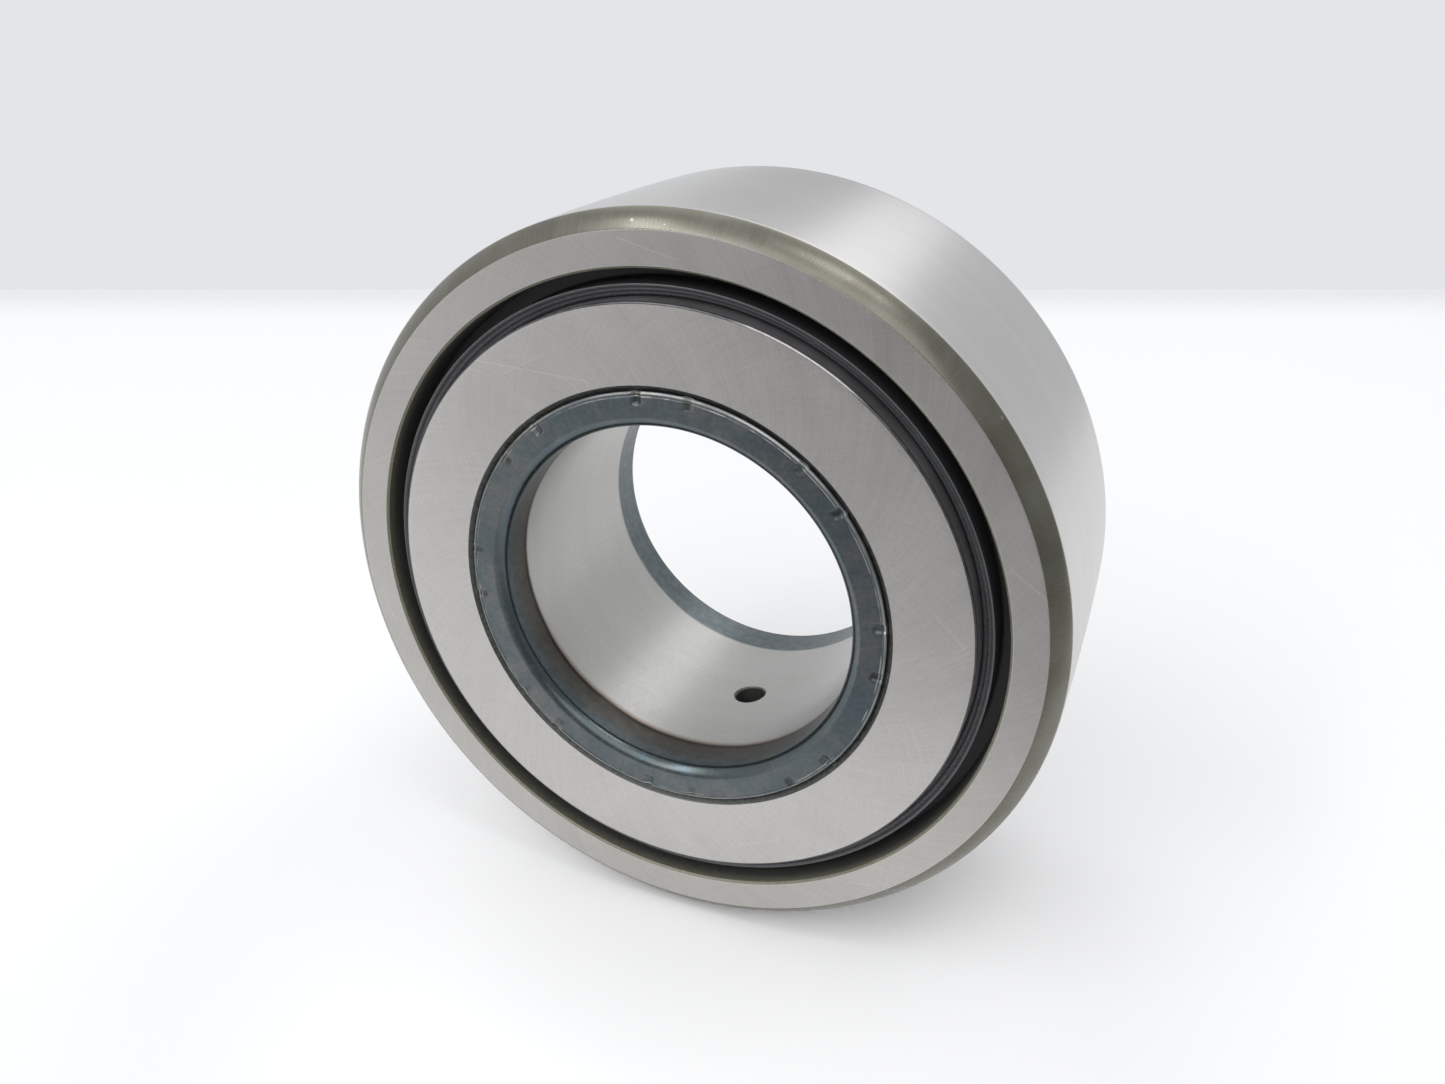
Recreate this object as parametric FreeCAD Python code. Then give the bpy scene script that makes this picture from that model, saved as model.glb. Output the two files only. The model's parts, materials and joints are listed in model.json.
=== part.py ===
"""Yoke-type cam follower: a thick-walled roller that turns on caged needle rollers around a ringed bore.

The bore runs along Y and the origin is the centre of the roller. An inner ring carries a pressed-on end
plate at each side, and its softened ends are staked over the plates. The thick outer ring, the cam roller
itself, turns on needle rollers that a cage keeps apart. A lip seal in each side of the outer ring wipes
the rim of the end plate next to it. All sizes are in millimetres.
"""

import FreeCAD
import Part

import math
import os

from FreeCAD import Vector

# Boundary sizes, which the mating pin, yoke and cam see.
OUTER_D = 72.0
BORE_D = 35.0
OVERALL_WIDTH = 29.0
OUTER_RING_WIDTH = 28.0
CROWN_RADIUS = 500.0
CORNER_CHAMFER = 1.6
CORNER_BULGE = 0.13

# Rolling set.
INNER_RACE_D = 42.0
NEEDLE_D = 5.0
NEEDLE_LENGTH = 16.8
NEEDLE_COUNT = 20
NEEDLE_CORNER = 0.3
RACE_CLEARANCE = 0.035
POCKET_CLEARANCE = 0.06
POCKET_END_CLEARANCE = 0.1
CAGE_WALL = 3.2
CAGE_SIDE_CLEARANCE = 0.2

# End plates and the staked ends of the inner ring.
PLATE_D = 57.0
PLATE_WIDTH = 4.6
PLATE_EDGE = 0.2
PLATE_BORE_D = 40.4
PLATE_MOUTH_D = 42.6
PLATE_PLAY = 0.15
LIP_D = 41.6
LIP_CONTACT_SHARE = 0.45
LIP_EDGE = 0.15
BORE_MOUTH_WIDTH = 0.95
BORE_MOUTH_LENGTH = 0.9
BORE_MOUTH_BULGE = 0.165
STAKE_COUNT = 8
STAKE_HALF_ANGLE = 6.85
DIMPLE_RADIUS = 0.65
DIMPLE_DEPTH = 0.28
DIMPLE_START_R = 20.0

# Lubrication hole through the inner ring, measured from +X towards +Z.
OIL_HOLE_D = 3.2
OIL_HOLE_ANGLE = -80.7
OIL_HOLE_CHAMFER = 0.15

# Lip seals in grooves in the sides of the outer ring. Depths are measured from the end plate's face.
SEAL_SEAT_D = 62.2
SEAT_CHAMFER = 0.2
SEAL_GROOVE_INNER_D = 56.8
SHOULDER_ROUNDING = 0.3
SEAL_FACE_DEPTH = 4.5
SEAL_BODY = 1.6
LIP_CREST_D = 59.5
CREST_DEPTH = 1.15
LIP_TIP_DEPTH = 2.25
LIP_TIP_WIDTH = 0.1
LIP_THICKNESS = 0.55
LIP_ROOT_ROUNDING = 0.25
LIP_ROUNDING = 0.1
LIP_CLEARANCE = 0.05
LIP_RIDGES = 3
LIP_RIDGE_HEIGHT = 0.06
INSERT_THICKNESS = 0.5
INSERT_SKIN = 0.4
INSERT_INNER_R = 29.6

# Worked out from the sizes above. "END" and "FACE" are distances from the mid plane.
END = OVERALL_WIDTH / 2
RING_FACE = OUTER_RING_WIDTH / 2
BORE_R = BORE_D / 2
INNER_RACE_R = INNER_RACE_D / 2
NEEDLE_R = NEEDLE_D / 2
PITCH_R = INNER_RACE_R + RACE_CLEARANCE + NEEDLE_R
OUTER_RACE_R = PITCH_R + NEEDLE_R + RACE_CLEARANCE
PLATE_INNER_FACE = END - PLATE_WIDTH
SEAT_SHOULDER = PLATE_INNER_FACE - PLATE_PLAY
SEAL_FACE = END - SEAL_FACE_DEPTH
GROOVE_FLOOR = SEAL_FACE - SEAL_BODY
CREST = END - CREST_DEPTH
LIP_TIP = END - LIP_TIP_DEPTH

AXIS = Vector(0, 1, 0)
CENTRE = Vector(0, 0, 0)
VIA = "via"


def rounded(before, corner, after, radius):
    """Start, middle and end of the arc that rounds a corner."""
    back = (before - corner).normalize()
    ahead = (after - corner).normalize()
    half_angle = back.getAngle(ahead) / 2
    reach = radius / math.tan(half_angle)
    middle = (back + ahead).normalize() * (radius / math.sin(half_angle) - radius)
    return corner + back * reach, corner + middle, corner + ahead * reach


def outline(corners):
    """Closed wire through (radius, axial place) corners.

    A third value is the radius that rounds a corner, or VIA for a place that the arc between its
    neighbours passes through.
    """
    points = [Vector(c[0], c[1], 0) for c in corners]
    kinds = [c[2] if len(c) > 2 else 0.0 for c in corners]
    after = [(i + 1) % len(points) for i in range(len(points))]
    bends = []
    for i, corner in enumerate(points):
        bend = (corner, corner, corner)
        if kinds[i] not in (0.0, VIA):
            bend = rounded(points[i - 1], corner, points[after[i]], kinds[i])
        bends.append(bend)
    edges = []
    for i, (start, middle, end) in enumerate(bends):
        following = bends[after[i]][0]
        if kinds[i] == VIA:
            edges.append(Part.Arc(bends[i - 1][2], middle, following).toShape())
            continue
        if start != end:
            edges.append(Part.Arc(start, middle, end).toShape())
        if kinds[after[i]] != VIA and end.distanceToPoint(following) > 1e-6:
            edges.append(Part.LineSegment(end, following).toShape())
    return Part.Wire(edges)


def turned(corners):
    """Solid turned around the bore axis from an outline."""
    return Part.Face(outline(corners)).revolve(CENTRE, AXIS, 360)


def both_sides(half):
    """Corners of an outline that is the same on both sides of the mid plane, from its front half."""
    return half + [(c[0], -c[1], *c[2:]) for c in reversed(half)]


def at_rear(shape):
    """The same piece for the other side of the roller."""
    return shape.mirror(CENTRE, AXIS)


def around(shape, angle):
    """A copy turned around the bore axis, by an angle measured from +X towards +Z."""
    copy = shape.copy()
    copy.rotate(CENTRE, AXIS, -angle)
    return copy


def make_outer_ring():
    """The cam roller: a slightly crowned tread between slightly rounded corner chamfers."""
    tread_end = RING_FACE - CORNER_CHAMFER
    tread_end_r = OUTER_D / 2 - tread_end**2 / (2 * CROWN_RADIUS)
    chamfer_inner_r = tread_end_r - CORNER_CHAMFER
    bulge = CORNER_BULGE / math.sqrt(2)
    seat_r = SEAL_SEAT_D / 2
    half = [
        (tread_end_r, -tread_end),
        (tread_end_r - CORNER_CHAMFER / 2 + bulge, -RING_FACE + CORNER_CHAMFER / 2 - bulge, VIA),
        (chamfer_inner_r, -RING_FACE),
        (seat_r + SEAT_CHAMFER, -RING_FACE),
        (seat_r, -RING_FACE + SEAT_CHAMFER),
        (seat_r, -GROOVE_FLOOR),
        (SEAL_GROOVE_INNER_D / 2, -GROOVE_FLOOR),
        (SEAL_GROOVE_INNER_D / 2, -SEAT_SHOULDER),
        (OUTER_RACE_R, -SEAT_SHOULDER, SHOULDER_ROUNDING),
    ]
    return turned(both_sides(half) + [(OUTER_D / 2, 0, VIA)])


def stake_dimple(angle, side):
    """Tool for the groove that one corner of a staking punch leaves, running out over the lip's edge."""
    height = side * (END + DIMPLE_RADIUS - DIMPLE_DEPTH)
    start = Vector(DIMPLE_START_R, height, 0)
    length = LIP_D / 2 + DIMPLE_RADIUS - DIMPLE_START_R
    groove = Part.makeCylinder(DIMPLE_RADIUS, length, start, Vector(1, 0, 0))
    tip = Part.makeSphere(DIMPLE_RADIUS, start)
    return around(groove.fuse(tip), angle)


def oil_hole():
    """Tool for the radial hole, with a small chamfer where it opens into the bore."""
    outwards = Vector(1, 0, 0)
    hole_r = OIL_HOLE_D / 2
    mouth_r = hole_r + OIL_HOLE_CHAMFER
    drill = Part.makeCylinder(hole_r, INNER_RACE_R, CENTRE, outwards)
    start = Vector(BORE_R - mouth_r, 0, 0)
    chamfer = Part.makeCone(2 * mouth_r, hole_r, mouth_r + OIL_HOLE_CHAMFER, start, outwards)
    return around(drill.fuse(chamfer), OIL_HOLE_ANGLE)


def make_inner_ring():
    lip_r = LIP_D / 2
    seat_r = PLATE_BORE_D / 2
    mouth_depth = (PLATE_MOUTH_D - PLATE_BORE_D) / 2
    contact = LIP_CONTACT_SHARE * mouth_depth
    mouth_slant = math.hypot(BORE_MOUTH_WIDTH, BORE_MOUTH_LENGTH)
    bulge_r = BORE_MOUTH_BULGE * BORE_MOUTH_LENGTH / mouth_slant
    bulge_along = BORE_MOUTH_BULGE * BORE_MOUTH_WIDTH / mouth_slant
    half = [
        (INNER_RACE_R, -PLATE_INNER_FACE),
        (seat_r, -PLATE_INNER_FACE),
        (seat_r, -END + mouth_depth),
        (seat_r + contact, -END + mouth_depth - contact),
        (lip_r, -END + LIP_EDGE),
        (lip_r - LIP_EDGE, -END),
        (BORE_R + BORE_MOUTH_WIDTH, -END),
        (BORE_R + BORE_MOUTH_WIDTH / 2 - bulge_r, -END + BORE_MOUTH_LENGTH / 2 - bulge_along, VIA),
        (BORE_R, -END + BORE_MOUTH_LENGTH),
    ]
    ring = turned(both_sides(half))
    dimples = []
    for stake in range(STAKE_COUNT):
        for corner in (-STAKE_HALF_ANGLE, STAKE_HALF_ANGLE):
            angle = stake * 360 / STAKE_COUNT + corner
            dimples += [stake_dimple(angle, -1), stake_dimple(angle, 1)]
    return ring.cut(dimples + [oil_hole()])


def make_end_plate():
    """Front end plate. Its mouth leaves room for the staked lip."""
    return turned([
        (PLATE_D / 2, -PLATE_INNER_FACE),
        (PLATE_D / 2, -END, PLATE_EDGE),
        (PLATE_MOUTH_D / 2, -END),
        (PLATE_BORE_D / 2, -END + (PLATE_MOUTH_D - PLATE_BORE_D) / 2),
        (PLATE_BORE_D / 2, -PLATE_INNER_FACE),
    ])


def make_seal_insert():
    """Angled steel ring that stiffens the front seal and presses it into its seat."""
    outer_r = SEAL_SEAT_D / 2 - INSERT_SKIN
    return turned([
        (INSERT_INNER_R, -GROOVE_FLOOR),
        (outer_r, -GROOVE_FLOOR),
        (outer_r, -SEAL_FACE + INSERT_SKIN),
        (outer_r - INSERT_THICKNESS, -SEAL_FACE + INSERT_SKIN),
        (outer_r - INSERT_THICKNESS, -GROOVE_FLOOR - INSERT_THICKNESS),
        (INSERT_INNER_R, -GROOVE_FLOOR - INSERT_THICKNESS),
    ])


def make_seal(insert):
    """Front rubber seal: a flat body around the insert, and a tall lip.

    The lip's outer side is straight. Its ridged top slopes in and down from the crest to a tip that wipes
    the end plate's rim.
    """
    seat_r = SEAL_SEAT_D / 2
    crest = Vector(LIP_CREST_D / 2, -CREST, 0)
    tip = Vector(PLATE_D / 2 + LIP_CLEARANCE, -LIP_TIP, 0)
    root_r = crest.x - LIP_THICKNESS
    slope = (tip - crest) / (2 * LIP_RIDGES)
    above = Vector(-slope.y, slope.x, 0).normalize()
    top = [(crest.x, crest.y, LIP_ROUNDING)]
    for step in range(1, 2 * LIP_RIDGES):
        rise = LIP_RIDGE_HEIGHT if step % 2 else 0.0
        point = crest + slope * step + above * rise
        top.append((point.x, point.y))
    body = turned([
        (seat_r, -GROOVE_FLOOR),
        (seat_r, -SEAL_FACE),
        (crest.x, -SEAL_FACE, LIP_ROOT_ROUNDING),
        *top,
        (tip.x, tip.y),
        (tip.x, tip.y + LIP_TIP_WIDTH),
        (root_r, tip.y + LIP_TIP_WIDTH + root_r - tip.x),
        (root_r, -GROOVE_FLOOR),
    ])
    return body.cut(insert)


def make_cage():
    """Moulded cage with a round pocket for each needle, open inwards and outwards."""
    inner_r = PITCH_R - CAGE_WALL / 2
    width = 2 * (PLATE_INNER_FACE - CAGE_SIDE_CLEARANCE)
    ring = turned(both_sides([
        (inner_r + CAGE_WALL, -width / 2, CAGE_WALL / 8),
        (inner_r, -width / 2, CAGE_WALL / 8),
    ]))
    pocket_length = NEEDLE_LENGTH + 2 * POCKET_END_CLEARANCE
    start = Vector(PITCH_R, -pocket_length / 2, 0)
    pocket = Part.makeCylinder(NEEDLE_R + POCKET_CLEARANCE, pocket_length, start, AXIS)
    return ring.cut([around(pocket, place) for place in needle_angles()])


def needle_angles():
    return [i * 360 / NEEDLE_COUNT for i in range(NEEDLE_COUNT)]


def make_needle(angle):
    start = Vector(PITCH_R, -NEEDLE_LENGTH / 2, 0)
    needle = Part.makeCylinder(NEEDLE_R, NEEDLE_LENGTH, start, AXIS)
    rims = [e for e in needle.Edges if isinstance(e.Curve, Part.Circle)]
    return around(needle.makeFillet(NEEDLE_CORNER, rims), angle)


def make_nodes():
    plate = make_end_plate()
    insert = make_seal_insert()
    seal = make_seal(insert)
    nodes = {
        "outer_ring": make_outer_ring(),
        "inner_ring": make_inner_ring(),
        "front_end_plate": plate,
        "rear_end_plate": at_rear(plate),
        "front_seal": seal,
        "rear_seal": at_rear(seal),
        "front_seal_insert": insert,
        "rear_seal_insert": at_rear(insert),
        "cage": make_cage(),
    }
    for number, angle in enumerate(needle_angles(), start=1):
        nodes[f"needle_{number:02d}"] = make_needle(angle)
    return nodes


def main():
    os.makedirs("parts", exist_ok=True)
    for name, shape in make_nodes().items():
        solids = shape.Solids
        if not shape.isValid() or len(solids) != 1:
            raise ValueError(f"{name} is not one valid solid")
        solids[0].exportStep(os.path.join("parts", f"{name}.step"))
        print(f"{name}: {solids[0].Volume:.1f} mm3")


main()
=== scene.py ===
"""Looks for the cam follower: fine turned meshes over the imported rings, seals and plates, and worn metal.

Lengths are in millimetres until a mesh, light or camera is made. Angles around the bore are in degrees,
from +X towards +Z. A profile is a list of (radius, place along the bore) points.
"""

import json
import math

import bpy
from mathutils import Matrix, Vector


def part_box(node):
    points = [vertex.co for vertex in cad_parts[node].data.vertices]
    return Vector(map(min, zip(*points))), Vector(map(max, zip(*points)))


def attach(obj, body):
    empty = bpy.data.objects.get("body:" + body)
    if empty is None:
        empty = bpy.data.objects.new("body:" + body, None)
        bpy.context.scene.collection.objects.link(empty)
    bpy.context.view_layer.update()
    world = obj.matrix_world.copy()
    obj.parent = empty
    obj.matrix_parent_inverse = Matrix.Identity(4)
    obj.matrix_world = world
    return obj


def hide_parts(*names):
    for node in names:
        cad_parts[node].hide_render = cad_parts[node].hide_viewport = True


MM = 0.001
UP = Vector((0, 0, 1))

SEGMENTS = 720
FINE_SEGMENTS = 1440
SHARP_ANGLE = 32

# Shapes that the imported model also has, where a box can't give them.
CROWN_RADIUS = 500.0
CORNER_CHAMFER = 1.6
CORNER_BULGE = 0.13
SEAT_CHAMFER = 0.2
SHOULDER_ROUNDING = 0.3
RACE_CLEARANCE = 0.035
BORE_MOUTH_WIDTH = 0.95
BORE_MOUTH_LENGTH = 0.9
BORE_MOUTH_BULGE = 0.165
PLATE_MOUTH_R = 21.3
PLATE_BORE_R = 20.2
PLATE_EDGE = 0.2
PLATE_PLAY = 0.15
LIP_R = 20.8
LIP_CONTACT_SHARE = 0.45
LIP_EDGE = 0.15
STAKE_COUNT = 8
STAKE_HALF_ANGLE = 6.85
OIL_HOLE_R = 1.6
OIL_HOLE_ANGLE = -80.7
OIL_HOLE_CHAMFER = 0.15
SEAL_GROOVE_INNER_R = 28.4
SEAL_FACE_DEPTH = 4.5
SEAL_CREST_R = 29.75
SEAL_CREST_DEPTH = 1.15
SEAL_TIP_DEPTH = 2.25
SEAL_TIP_WIDTH = 0.1
SEAL_LIP_THICKNESS = 0.55
SEAL_LIP_CLEARANCE = 0.05
SEAL_ROOT_ROUNDING = 0.25
SEAL_RIDGES = 3
SEAL_RIDGE_HEIGHT = 0.06

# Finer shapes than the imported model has: the rounding of the seal's crest, how far wear has eaten back along
# each side of a sharp edge, and the marks of the staking punch.
SEAL_CREST_ROUNDING = 0.09
WORN_EDGE = 0.06
DENT_START_R = 19.5
DENT_FULL_R = 19.9
DENT_HALF_WIDTH = 0.62
DENT_DEPTH = 0.28
DENT_LENGTH = 0.8
DENT_BULGE = 0.1
PUNCH_STEP_R = 20.38
PUNCH_STEP = 0.04

# The heat-tinted length of the bore from each end, where straw colour borders it, where the inner ring's
# ends are painted darkest as shade, and the middle of the plate edge's painted highlight.
TINT_LENGTH = 4.5
STRAW_ANGLE = -94.0
END_SHADE_ANGLE = 10.0
PLATE_HIGHLIGHT_ANGLE = 64.0

# Handling marks: hair scratches from one (across, height) place to another, with a strength, and small
# nicks by angle, radius, place along the bore and size.
PLATE_SCRATCHES = (
    ((-18.4, 21.6), (-6.9, 21.0), 0.3),
    ((-16.0, 20.4), (-11.2, 23.0), 0.2),
    ((24.6, 4.8), (27.4, 2.1), 0.3),
    ((-25.7, -6.1), (-23.4, -10.8), 0.2),
    ((7.2, -25.1), (11.6, -23.0), 0.2),
)
FACE_SCRATCHES = (
    ((-4.0, 33.4), (1.5, 32.0), 0.25),
    ((30.2, 9.9), (33.2, 7.9), 0.3),
    ((-33.0, -4.2), (-31.7, -8.6), 0.2),
    ((18.6, -26.3), (21.3, -25.9), 0.2),
)
CORNER_NICKS = (
    (94.4, 34.75, -13.5, 0.22),
    (89.5, 34.6, -13.7, 0.1),
    (38.0, 35.6, -12.7, 0.15),
)


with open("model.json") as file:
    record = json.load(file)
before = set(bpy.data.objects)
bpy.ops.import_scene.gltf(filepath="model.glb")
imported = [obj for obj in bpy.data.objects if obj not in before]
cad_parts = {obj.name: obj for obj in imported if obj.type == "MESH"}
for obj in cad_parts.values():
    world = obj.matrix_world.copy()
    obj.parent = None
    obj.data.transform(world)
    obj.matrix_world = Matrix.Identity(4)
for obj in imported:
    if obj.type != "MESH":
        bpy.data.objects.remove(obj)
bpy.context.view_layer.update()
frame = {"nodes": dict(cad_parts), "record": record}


def box_mm(node):
    low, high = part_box(node)
    return low / MM, high / MM


def radius_of(node):
    return box_mm(node)[1].x


def half_width_of(node):
    return box_mm(node)[1].y


OUTER_R = radius_of("outer_ring")
RING_FACE = half_width_of("outer_ring")
END = half_width_of("inner_ring")
INNER_RACE_R = radius_of("inner_ring")
PLATE_R = radius_of("front_end_plate")
PLATE_INNER_FACE = box_mm("rear_end_plate")[0].y
SEAT_R = radius_of("front_seal")
SEAT_SHOULDER = PLATE_INNER_FACE - PLATE_PLAY
GROOVE_FLOOR = box_mm("rear_seal")[0].y
BORE_R = frame["record"]["mounts"][0]["dims"]["r_mm"]
NEEDLE_R = (box_mm("needle_01")[1].x - box_mm("needle_01")[0].x) / 2
OUTER_RACE_R = INNER_RACE_R + 2 * (NEEDLE_R + RACE_CLEARANCE)
FLOOR_Z = box_mm("outer_ring")[0].z


# ---------------------------------------------------------------- materials


class Tree:
    """A material's nodes. Values can be plain, or the outputs of other nodes."""

    def __init__(self, name, metallic, roughness, specular=0.5):
        self.material = bpy.data.materials.new(name)
        self.material.use_nodes = True
        self.tree = self.material.node_tree
        self.tree.nodes.clear()
        self.shader = self.tree.nodes.new("ShaderNodeBsdfPrincipled")
        self.shader.inputs["Metallic"].default_value = metallic
        self.shader.inputs["Roughness"].default_value = roughness
        self.shader.inputs["Specular IOR Level"].default_value = specular
        output = self.tree.nodes.new("ShaderNodeOutputMaterial")
        self.tree.links.new(self.shader.outputs[0], output.inputs[0])
        place = self.tree.nodes.new("ShaderNodeTexCoord").outputs["Object"]
        self.place = self.vector("SCALE", place, scale=1 / MM)
        flat = self.vector("MULTIPLY", self.place, (1, 0, 1))
        self.radius = self.vector("LENGTH", flat)
        self.clock = self.vector("NORMALIZE", flat)
        split = self.tree.nodes.new("ShaderNodeSeparateXYZ")
        self.put(split.inputs[0], self.place)
        self.across, self.along, self.height = split.outputs

    def put(self, socket, value):
        """Links a node's output to the socket, or sets the socket to a plain value."""
        if isinstance(value, bpy.types.NodeSocket):
            self.tree.links.new(value, socket)
        else:
            socket.default_value = value

    def math(self, operation, first, second=0.0, clamp=False):
        node = self.tree.nodes.new("ShaderNodeMath")
        node.operation = operation
        node.use_clamp = clamp
        self.put(node.inputs[0], first)
        self.put(node.inputs[1], second)
        return node.outputs[0]

    def vector(self, operation, first, second=(0, 0, 0), scale=1.0):
        node = self.tree.nodes.new("ShaderNodeVectorMath")
        node.operation = operation
        self.put(node.inputs[0], first)
        if operation == "SCALE":
            self.put(node.inputs["Scale"], scale)
        elif operation in ("ADD", "MULTIPLY"):
            self.put(node.inputs[1], second)
        return node.outputs["Value"] if operation == "LENGTH" else node.outputs["Vector"]

    def dot(self, first, second):
        node = self.tree.nodes.new("ShaderNodeVectorMath")
        node.operation = "DOT_PRODUCT"
        self.put(node.inputs[0], first)
        self.put(node.inputs[1], second)
        return node.outputs["Value"]

    def nearness(self, angle):
        """1 at an angle around the bore, falling as the cosine does on both sides of it."""
        a = math.radians(angle)
        return self.dot(self.clock, (math.cos(a), 0, math.sin(a)))

    def joined(self, x, y, z):
        node = self.tree.nodes.new("ShaderNodeCombineXYZ")
        for socket, value in zip(node.inputs, (x, y, z)):
            self.put(socket, value)
        return node.outputs[0]

    def noise(self, where, scale, detail=3.0, roughness=0.55, distortion=0.0):
        node = self.tree.nodes.new("ShaderNodeTexNoise")
        self.put(node.inputs["Vector"], where)
        node.inputs["Scale"].default_value = scale
        node.inputs["Detail"].default_value = detail
        node.inputs["Roughness"].default_value = roughness
        node.inputs["Distortion"].default_value = distortion
        return node.outputs[0]

    def spots(self, where, scale):
        """Distance to the nearest of scattered points."""
        node = self.tree.nodes.new("ShaderNodeTexVoronoi")
        self.put(node.inputs["Vector"], where)
        node.inputs["Scale"].default_value = scale
        return node.outputs["Distance"]

    def ramp(self, value, low, high, to_low=0.0, to_high=1.0):
        """Smooth step from to_low to to_high as value goes from low to high."""
        node = self.tree.nodes.new("ShaderNodeMapRange")
        node.interpolation_type = "SMOOTHSTEP"
        for socket, number in zip(node.inputs, (value, low, high, to_low, to_high)):
            self.put(socket, number)
        return node.outputs[0]

    def band(self, value, centre, half_width, soft):
        """1 inside a band of values, fading to 0 outside it."""
        away = self.math("ABSOLUTE", self.math("SUBTRACT", value, centre))
        return self.ramp(away, half_width, half_width + soft, 1.0, 0.0)

    def mix(self, share, first, second, blend="MIX"):
        node = self.tree.nodes.new("ShaderNodeMix")
        node.data_type = "RGBA"
        node.blend_type = blend
        self.put(node.inputs["Factor"], share)
        self.put(node.inputs["A"], self.colour(first))
        self.put(node.inputs["B"], self.colour(second))
        return node.outputs["Result"]

    @staticmethod
    def colour(value):
        if isinstance(value, tuple) and len(value) == 3:
            return (*value, 1.0)
        return value

    def tint(self, colour, value, low, high):
        """A colour made darker or lighter by a value from 0 to 1."""
        shade = self.ramp(value, 0.3, 0.7, low, high)
        node = self.tree.nodes.new("ShaderNodeVectorMath")
        node.operation = "SCALE"
        if isinstance(colour, tuple):
            node.inputs[0].default_value = colour
        else:
            self.put(node.inputs[0], colour)
        self.put(node.inputs["Scale"], shade)
        return node.outputs["Vector"]

    def turned(self, degrees_per_mm, from_radius):
        """The place, turned around the bore by an angle that grows with the radius."""
        beyond = self.math("SUBTRACT", self.radius, from_radius)
        node = self.tree.nodes.new("ShaderNodeVectorRotate")
        node.rotation_type = "Y_AXIS"
        self.put(node.inputs["Vector"], self.place)
        self.put(node.inputs["Angle"], self.math("MULTIPLY", beyond, math.radians(degrees_per_mm)))
        return node.outputs[0]

    def streaks(self, where, lines, stretch, detail=2.0):
        """Noise in lines that run outwards from the bore. stretch is how fast it changes along a line."""
        flat = self.vector("MULTIPLY", where, (1, 0, 1))
        around = self.vector("SCALE", self.vector("NORMALIZE", flat), scale=lines)
        level = self.joined(0.0, self.math("MULTIPLY", self.radius, stretch), 0.0)
        return self.noise(self.vector("ADD", around, level), 1.0, detail)

    def rings(self, across_lines, around_lines, detail=2.0):
        """Noise in lines that run around the bore, on a surface that lies along it."""
        around = self.vector("SCALE", self.clock, scale=around_lines)
        level = self.joined(0.0, self.math("MULTIPLY", self.along, across_lines), 0.0)
        return self.noise(self.vector("ADD", around, level), 1.0, detail)

    def circles(self, across_lines, around_lines, detail=2.0):
        """Noise in lines that run around the bore, on a surface that faces along it."""
        around = self.vector("SCALE", self.clock, scale=around_lines)
        level = self.joined(0.0, self.math("MULTIPLY", self.radius, across_lines), 0.0)
        return self.noise(self.vector("ADD", around, level), 1.0, detail)

    def scratch(self, start, end, width):
        """1 on a hair scratch between two (across, height) places of a face, fading to 0 beside it."""
        first = Vector((start[0], 0, start[1]))
        span = Vector((end[0] - start[0], 0, end[1] - start[1]))
        flat = self.vector("MULTIPLY", self.place, (1, 0, 1))
        beyond = self.vector("ADD", flat, tuple(-first))
        share = self.math("DIVIDE", self.dot(beyond, tuple(span)), span.length_squared, clamp=True)
        nearest = self.vector("SCALE", tuple(-span), scale=share)
        return self.ramp(self.vector("LENGTH", self.vector("ADD", beyond, nearest)), width, 0.3 * width)

    def nick(self, angle, radius, along, size):
        """1 on a small dent at an angle around the bore, fading to 0 around it."""
        a = math.radians(angle)
        centre = (-radius * math.cos(a), -along, -radius * math.sin(a))
        away = self.vector("LENGTH", self.vector("ADD", self.place, centre))
        uneven = self.ramp(self.noise(self.place, 4.0), 0.3, 0.7, -0.6 * size, 0.6 * size)
        ragged = self.math("ADD", away, uneven)
        return self.ramp(ragged, size, 0.5 * size)

    def total(self, *parts):
        """Sum of (value, weight) pairs."""
        result = 0.0
        for value, weight in parts:
            result = self.math("ADD", result, self.math("MULTIPLY", value, weight))
        return result

    def paint(self, colour):
        self.put(self.shader.inputs["Base Color"], self.colour(colour))

    def rough(self, value, low, high):
        self.put(self.shader.inputs["Roughness"], self.ramp(value, 0.25, 0.75, low, high))

    def bump(self, height, depth):
        """Raises the surface by the height value, from 0 to 1, times a depth in millimetres."""
        node = self.tree.nodes.new("ShaderNodeBump")
        node.inputs["Distance"].default_value = depth * MM
        self.put(node.inputs["Height"], height)
        self.put(self.shader.inputs["Normal"], node.outputs[0])

    def brushed(self, amount):
        """Stretches highlights across lines that run around the bore."""
        tangent = self.tree.nodes.new("ShaderNodeTangent")
        tangent.direction_type = "RADIAL"
        tangent.axis = "Y"
        self.shader.inputs["Anisotropic"].default_value = amount
        self.put(self.shader.inputs["Tangent"], tangent.outputs[0])


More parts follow.
